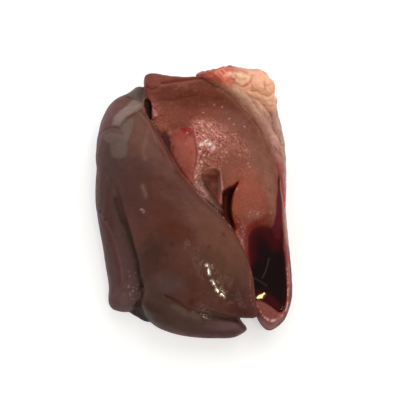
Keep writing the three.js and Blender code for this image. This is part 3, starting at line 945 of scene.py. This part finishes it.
# Sparse light flecks in the flesh's grain, partly painted sparkle.
sparkle_flecks = raw.span(raw.noise(800, 2), 0.62, 0.70, 0, 0.25)
base = raw.mix(raw.math("MULTIPLY", sparkle_flecks, grain_of), base, "d3a595")
slanting, crossing = strands(210, 0.8, -38, 3.0, 0.03, 0.09, 1), strands(190, 1.5, 40, 1.5, 0.02, 0.07, 0.8)
threads = raw.math("MAXIMUM", slanting, crossing)
crumbly = raw.noise(300, 2, 0.5, 0.4)
base = raw.mix(raw.math("MULTIPLY", raw.span(crumbly, 0.48, 0.38, 0, 0.6), net_of), base, "6b2f28")
base = raw.mix(raw.math("MULTIPLY", threads, raw.math("MULTIPLY", net_of, 0.7)), base, "c98a78")
# The palest crumbs of the torn net are partly pale tissue and partly painted highlights.
base = raw.mix(raw.math("MULTIPLY", raw.span(crumbly, 0.60, 0.66, 0, 0.8), net_of), base, "e6bfae")
fine = raw.bump(raw.noise(95, 3), 0.0004, 1.0)
fine = raw.bump(raw.noise(560, 3, 0.6), 0.0005, grain_of, fine)
fine = raw.bump(threads, 0.0006, net_of, fine)
fine = raw.bump(raw.noise(200, 2), 0.0006, glints_of, fine)
raw.set(
    Base_Color=base,
    Roughness=raw.uneven(110, 0.40, 0.55),
    Normal=fine,
    Coat_Weight=raw.span(glints_of, 0, 1, 0.01, 1.0),
    Coat_Roughness=0.05,
    Coat_IOR=1.8,
    Specular_IOR_Level=0.10,
)
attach(liver, "root")
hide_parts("liver")

# Kidney fat. Firm pale suet that came away with the liver and hangs on at the far right corner: round
# lumps along the corner, a sheet wrapped over the rim, and pink tissue torn from the gut at its left end.

FAT_STEP = 1.1  # spacing of the fat's points
LUMP_ROWS = 24  # rows of faces between the two poles of a lump
fat_sheet = dict(
    outline=[
        (121, 2), (122.5, 30), (122.5, 57), (119, 95), (112.5, 122), (110.5, 142), (102.5, 169), (87, 180),
        (62, 185), (42, 186), (24, 182), (8, 178), (2, 172), (12, 165), (28, 158), (42, 150), (58, 137),
        (76, 116), (90, 92), (101, 66), (108, 42), (112, 20), (114, -6), (119, -12),
    ],
    heart=(103, 92),
    top=ground(
        SLAB + 3,
        ((72, 158), (60, 26), 9, -14),
        ((100, 134), (46, 18), 5, -62),
        ((98, 55), (70, 15), -5, 97),
    ),
    under=ground(19),
    margin=7,
    belly=0.35,
)
fat_lumps = [
    ((96.5, 152, 45), (14, 15, 12), 0),
    ((86, 153, 46), (14, 11, 11), 0),
    ((103.5, 136, 42), (8, 8, 9), 0),
    ((99, 131, 44), (6, 5, 7), 0),
    ((88, 140, 44), (14, 4, 7), -24),
    ((71, 163, 46), (13, 9, 8), -20),
    ((56, 166, 46), (10, 7, 8), 0),
    ((42, 172, 43), (13, 7, 7), 12),
    ((28, 173, 41), (12, 7, 6), 20),
    ((50, 181, 40), (11, 4.5, 8), 0),
    ((66, 176, 41), (12, 6, 8), -8),
    ((87, 171, 38), (16, 10, 12), -24),
    ((12, 174, 38), (9, 5, 5), 10),
]


def round_lump(at, size, turn):
    """A ball drawn out to three half sizes, turned this far in plan, in degrees."""
    c, s = math.cos(math.radians(turn)), math.sin(math.radians(turn))
    verts = [(0, 0, -1)]
    for row in range(1, LUMP_ROWS):
        down = math.pi * row / LUMP_ROWS
        for k in range(2 * LUMP_ROWS):
            a = math.pi * k / LUMP_ROWS
            verts.append((math.sin(down) * math.cos(a), math.sin(down) * math.sin(a), -math.cos(down)))
    u, v, w = (np.array(verts + [(0, 0, 1)]) * size).T
    verts = np.stack([u * c - v * s, u * s + v * c, w], 1) + at
    return verts, joined_rings(LUMP_ROWS - 1, 2 * LUMP_ROWS)


fat = gathered("kidney_fat_lumps", [lobe(**fat_sheet)] + [round_lump(*lump) for lump in fat_lumps])
grown_together(fat, FAT_STEP)
points, edges = arrays_of(fat.data)
points = evened(points, edges, 2)
put_points(fat.data, points)
facing = normals_of(fat.data)
x, y, z = points.T
wave_x, wave_y = bumps(points, 8, 41, 2), bumps(points, 8, 42, 2)


def lobules(size, seed):
    """0 in the creases between round lobules of about the given size, and 1 inside them."""
    shifted = points / size + seed * SEED_SHIFT
    nearest, second = np.array([noise.voronoi(p)[0][:2] for p in shifted.tolist()]).T
    return ramp(second - nearest, 0, 0.4)


long_crease = [(92, 127), (97, 121), (101, 113), (103, 104), (107, 93), (112, 83), (114, 74)]
lump_crease = [(75, 146), (84, 144), (90, 141), (98, 138), (104, 142), (108, 150)]
lump_side = [(77, 168), (74, 159), (77, 149)]
lump_line = [(92, 158), (93, 146)]
low_lump = [(97, 137), (94, 130), (100, 126), (108, 126)]
strip_edge = [(68, 143), (77, 138), (88, 132), (93, 126)]
sheet_folds = (
    [(68, 139), (77, 129), (85, 117), (93, 104), (99, 91), (105, 75)],
    [(78, 138), (84, 130), (90, 117), (98, 100), (105, 83), (110, 67)],
    [(100, 112), (107, 96), (113, 77), (117, 59), (118, 30)],
)
red_end = ramp(x, 66, 44) * ramp(y, 150, 162)
sheet_end = ramp(y - 0.25 * (x - 90), 126, 108)
relief = 0.6 * bumps(points, 14, 21) + 0.3 * bumps(points, 5, 22)
relief += 0.7 * (1 - 0.6 * sheet_end) * (lobules(13, 1) - 0.8)
relief += (
    -2.2 * near(long_crease, 1.2, 1.5)
    + 1.0 * near(moved(long_crease, 4, 3), 2.2, 1.5)
    + 0.8 * near(moved(long_crease, -4, -2), 2.2, 1.5)
    - 1.4 * near(lump_crease, 1.2, 1.5)
    + 0.8 * near(moved(lump_crease, -1, -4), 2)
    - 1.0 * near(lump_side, 1.2, 1)
    - 0.7 * near(lump_line, 0.9)
    - 0.8 * near(low_lump, 1.1, 1.5)
    - 1.0 * near(strip_edge, 1.1, 1)
    + 0.9 * red_end * bumps(points, 4, 23)
    - 2.0 * hump((111, 151), 8, 9)
    + sum(0.7 * near(path, 1.6, 2) for path in sheet_folds)
)
points = points + facing * relief[:, None]
points[:, 2] = np.maximum(points[:, 2], 0)
put_points(fat.data, points)
settle(fat)

paint = np.tile(srgb("d09878"), (len(points), 1))
tint("c88d72", ramp(bumps(points, 16, 24), -0.1, 0.4))
tint("d59071", 0.7 * ramp(bumps(points, 9, 25), 0.15, 0.55))
tint("e2a381", 0.8 * inside([(72, 141), (104, 141), (112, 152), (96, 172), (74, 168)], 3))
tint("a24a35", red_end)
tint("934828", red_end * ramp(bumps(points, 6, 29), 0.1, 0.35))
tint("a43d29", 0.9 * red_end * ramp(bumps(points, 7, 26), 0.05, 0.3))
tint("b26d54", 0.9 * near([(8, 178), (24, 183), (42, 186), (62, 185), (82, 180)], 4.5, 1))
# A cream patch on the big lump: painted highlight.
tint("efc19b", 0.7 * inside([(50, 171), (66, 172), (77, 169), (75, 161), (64, 157), (54, 161)], 5, 5))
tint("d9735a", 0.8 * inside([(30, 180), (44, 181), (50, 174), (46, 164), (38, 164), (30, 172)], 3, 3))
tint("b3614e", 0.8 * near([(44, 178), (54, 176), (62, 175), (69, 172)], 3, 1.5))
tint("a8473d", 0.8 * near([(28, 178), (44, 184), (60, 184), (76, 180)], 2.0, 1.5))
tint("c76d52", 0.8 * inside([(36, 158), (38, 166), (48, 166), (56, 161), (52, 154), (42, 154)], 3, 3))
# Cream bits in the red end of the fat: painted glints.
tint("f2b896", 0.8 * near([(42, 169), (47, 171), (52, 169)], 3, 1.5))
tint("e6b090", 0.7 * near([(59, 150), (65, 148)], 4, 1))
tint("e9a884", 0.6 * near([(79, 152), (88, 149), (95, 145)], 2.5, 1))
tint("9c4649", ramp(x, 24, 10))
tint("b27e70", 0.9 * sheet_end)
tint("b49682", sheet_end * ramp(x + 0.1 * (y - 90), 108, 113))
tint("a97469", 0.8 * sheet_end * ramp(bumps(points * (1, 0.3, 1), 5, 28), 0.05, 0.35))
tint("a17469", 0.7 * sheet_end * ramp(bumps(points * (1, 0.3, 1), 5, 30), 0.2, 0.5))
tint("8e0707", 0.7 * sheet_end * ramp(y, 70, 40))
for path in sheet_folds:
    tint("b6917e", 0.6 * near(path, 1.2, 2))
for path in sheet_folds:
    tint("8b5c4a", 0.6 * near(moved(path, -2.2, -1), 0.9, 2))
thin = ramp(bumps(points, 9, 43, 2), -0.5, 0.1)
tint("79452f", 0.9 * near(long_crease, 0.8, 2.5) * thin)
tint("b46642", 0.8 * near(lump_crease, 1.0, 1.5) * thin)
tint("b9694b", 0.5 * near(lump_side, 1.1, 1.5))
tint("b45a48", 0.7 * near(lump_line, 0.7, 1))
tint("ae6e53", 0.6 * near(low_lump, 0.9, 1.5) * thin)
tint("eebe98", 0.6 * hump((100, 136), 9, 8))
tint("a86852", 0.5 * near(strip_edge, 0.9, 1.5) * thin)
film = [(46, 154), (62, 151), (75, 137), (89, 118), (83, 113), (66, 132), (50, 147)]
tint("c19278", 0.8 * inside(film, 3, 3))
thin_edge = [(24, 160), (38, 157), (49, 148), (62, 136.5), (75, 122.5), (85, 111), (94, 96), (101, 81)]
thin_edge += [(106, 68)]
tint("a66d5a", 0.9 * near(moved(thin_edge, -2, -2), 4, 2))
tint("bb8a79", 0.8 * inside([(103, 92), (112, 91), (111, 76), (106, 75), (103, 84)], 2, 2))
tint("8a0707", 0.8 * near([(107, 73), (110, 68), (114, 62)], 0.9, 1))
tint("856351", 0.6 * near([(110, 121), (115, 102), (118, 82), (119.5, 61), (120, 36)], 2.4, 1.5))
tint("857e75", 0.8 * near([(119, 66), (120, 50), (120.5, 30), (120, 10)], 2.2, 1))
red_threads = (
    [(19, 177), (24, 173), (31, 166), (38, 161)],
    [(51, 172), (56, 166), (52, 162)],
    [(66, 153), (72, 156), (77, 163)],
    [(38, 174), (43, 166)],
    [(58, 157), (66, 152), (72, 153)],
)
for path in red_threads:
    tint("a82a11", 0.75 * near(path, 0.8, 2))
tint("736856", 0.6 * ramp(z, 34, 26))
paint = evened(paint, edges, 1, 0.3)
store(fat.data, "paint", paint)

suet = recipe_for(fat, "kidney_fat")
suet.set(
    Base_Color=suet.scaled(suet.attribute("paint"), suet.uneven(160, 0.94, 1.06, 4)),
    Roughness=suet.uneven(140, 0.34, 0.50),
    Normal=suet.bump(suet.noise(480, 3, 0.6), 0.0004, 0.5),
    Coat_Weight=0.15,
    Coat_Roughness=0.15,
    Specular_IOR_Level=0.3,
    Subsurface_Weight=0.1,
    Subsurface_Radius=(0.004, 0.002, 0.001),
)
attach(fat, "root")
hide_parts("kidney_fat")

# Blood. It has run together in the hollow inside the rim, nearly black where it is deep and red where it
# thins out at the shore. It is held by the flesh all round.

pool = dict(
    outline=[
        (112, 30), (117.5, -2), (119, -30), (121, -56), (122.5, -85), (122, -106), (118.5, -128), (110, -140),
        (98, -143), (84, -136), (70, -124), (60, -100), (56, -70), (62, -40), (80, -16), (98, 10), (106, 30),
    ],
    heart=(96, -70),
    top=ground(BLOOD_LEVEL),
    under=ground(9),
    margin=2,
    belly=0.85,
)
blood = new_object("blood_standing", *lobe(**pool))
points, edges = arrays_of(blood.data)
x, y, z = points.T
wave_x, wave_y = bumps(points, 10, 51, 2), bumps(points, 10, 52, 2)
settle(blood)
blood.data.shade_smooth()
bpy.context.view_layer.update()

# How deep the blood is over the flesh decides its colour.
depth = np.zeros(len(points))
for number, (px, py, _) in enumerate(points.tolist()):
    met, bed, _, _ = liver.ray_cast(in_frame(px, py, BLOOD_LEVEL + 0.5), Vector((0, 0, -1)))
    if met:
        depth[number] = BLOOD_LEVEL - bed[2] / MM
paint = np.tile(srgb("150405"), (len(points), 1))
tint("380307", ramp(depth, 12, 4))
tint("380509", ramp(y + 3 * wave_y, -50, -32))
tint("360910", 0.9 * near([(112, 20), (115, -20), (118, -50), (120, -85), (119.5, -112), (112, -138)], 3, 1))
tint("3c0508", ramp(past_shore(x, y), -14, -6))
by_tail = ramp(x, 92, 100)
tint("4c0f0d", (1 - by_tail) * ramp(depth, 4.6, 0.6))
tint("6a2b22", (1 - by_tail) * ramp(depth, 1, 0))
tint("470913", by_tail * ramp(depth, 1.5, 0) * ramp(y, -118, -106))
film_arcs = ([(97, -72), (93, -87), (88, -97)], [(77, -97), (85, -101), (94, -107)])
tint("453634", 0.7 * sum(near(path, 0.7) for path in film_arcs))
store(blood.data, "paint", paint)

gore = recipe_for(blood, "blood")
gore.set(
    Base_Color=gore.scaled(gore.attribute("paint"), gore.uneven(60, 0.85, 1.15)),
    Roughness=gore.uneven(45, 0.015, 0.03, 2),
    Normal=gore.bump(gore.noise(40, 2), 0.0002, 0.4),
    Specular_IOR_Level=0.4,
)
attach(blood, "root")
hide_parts("blood_pool")

# Floor, light and camera. The floor is plain and pale. Large soft lamps stand at the far side and the left,
# and two small ones high at the right make the glint on the blood. The camera looks down steeply from the
# near side.

FLOOR_HALF = 3.0  # metres, like the lamps' distances and sizes
corners = FLOOR_HALF * np.array([(-1, -1, 0), (1, -1, 0), (1, 1, 0), (-1, 1, 0)])
floor = new_object("floor", corners, [(0, 1, 2, 3)])
recipe_for(floor, "floor_white").set(
    Base_Color=(0.6, 0.6, 0.6, 1),
    Emission_Color=(1, 1, 1, 1),
    Emission_Strength=0.5,
    Roughness=0.9,
    Specular_IOR_Level=0.0,
)


def soft_box(name, azimuth, elevation, distance, size, power, colour=(1, 1, 1), roll=0.0):
    """An oval lamp that faces the liver from the given direction. Azimuth 0 is the near side."""
    light = bpy.data.lights.new(name, "AREA")
    light.shape = "ELLIPSE"
    light.size, light.size_y = size
    light.energy = power
    light.color = colour
    lamp = placed(name, light)
    a, e = math.radians(azimuth), math.radians(elevation)
    out = Vector((math.sin(a) * math.cos(e), -math.cos(a) * math.cos(e), math.sin(e)))
    lamp.location = out * distance
    rolled = out.to_track_quat("Z", "Y").to_matrix() @ Matrix.Rotation(math.radians(roll), 3, "Z")
    lamp.rotation_euler = rolled.to_euler()


soft_box("far_box", 160, 38, 3.0, (4.0, 2.4), 62)
soft_box("left_box", -110, 30, 3.0, (3.0, 2.0), 14, (0.93, 0.95, 1.0))
soft_box("small_lamp", 68.0, 80.85, 2.05, (0.016, 0.036), 0.06, (1.0, 0.78, 0.36), 58)
soft_box("side_lamp", 73, 69.5, 2.1, (0.45, 0.3), 7, (1.0, 0.86, 0.62))

# The room is pale all round and dark overhead, where the camera looks down from. Seen past the floor it
# is plain white.
room = Recipe(bpy.data.worlds.new("studio"))
bpy.context.scene.world = room.owner
height = room.add("SeparateXYZ", Vector=room.add("TexCoord").outputs["Generated"]).outputs["Z"]
fade = room.add("ValToRGB", Fac=height)
for end, level, grey in ((0, 0.6, 0.8), (1, 0.93, 0.15)):
    fade.color_ramp.elements[end].position = level
    fade.color_ramp.elements[end].color = (grey, grey, grey, 1)
around = room.fill(room.nodes["Background"], dict(Color=fade.outputs["Color"], Strength=1))
plain = room.add("Background", Color=(1, 1, 1, 1))
either = room.add("MixShader", Fac=room.add("LightPath").outputs["Is Camera Ray"])
room.put(either.inputs[1], around.outputs[0])
room.put(either.inputs[2], plain.outputs[0])
room.put(room.nodes["World Output"].inputs["Surface"], either.outputs[0])
bpy.context.scene.view_settings.view_transform = "Standard"
bpy.context.scene.view_settings.look = "None"

camera_data = bpy.data.cameras.new("camera")
camera_data.lens = 50
camera_data.sensor_width = 36
camera_data.clip_end = 20
camera = placed("camera", camera_data)
aim = in_frame(8.45, 3.25, 35)
eye = in_frame(8.45, -122.16, 746.25)
camera.location = eye
camera.rotation_euler = (eye - aim).to_track_quat("Z", "Y").to_euler()
bpy.context.scene.camera = camera
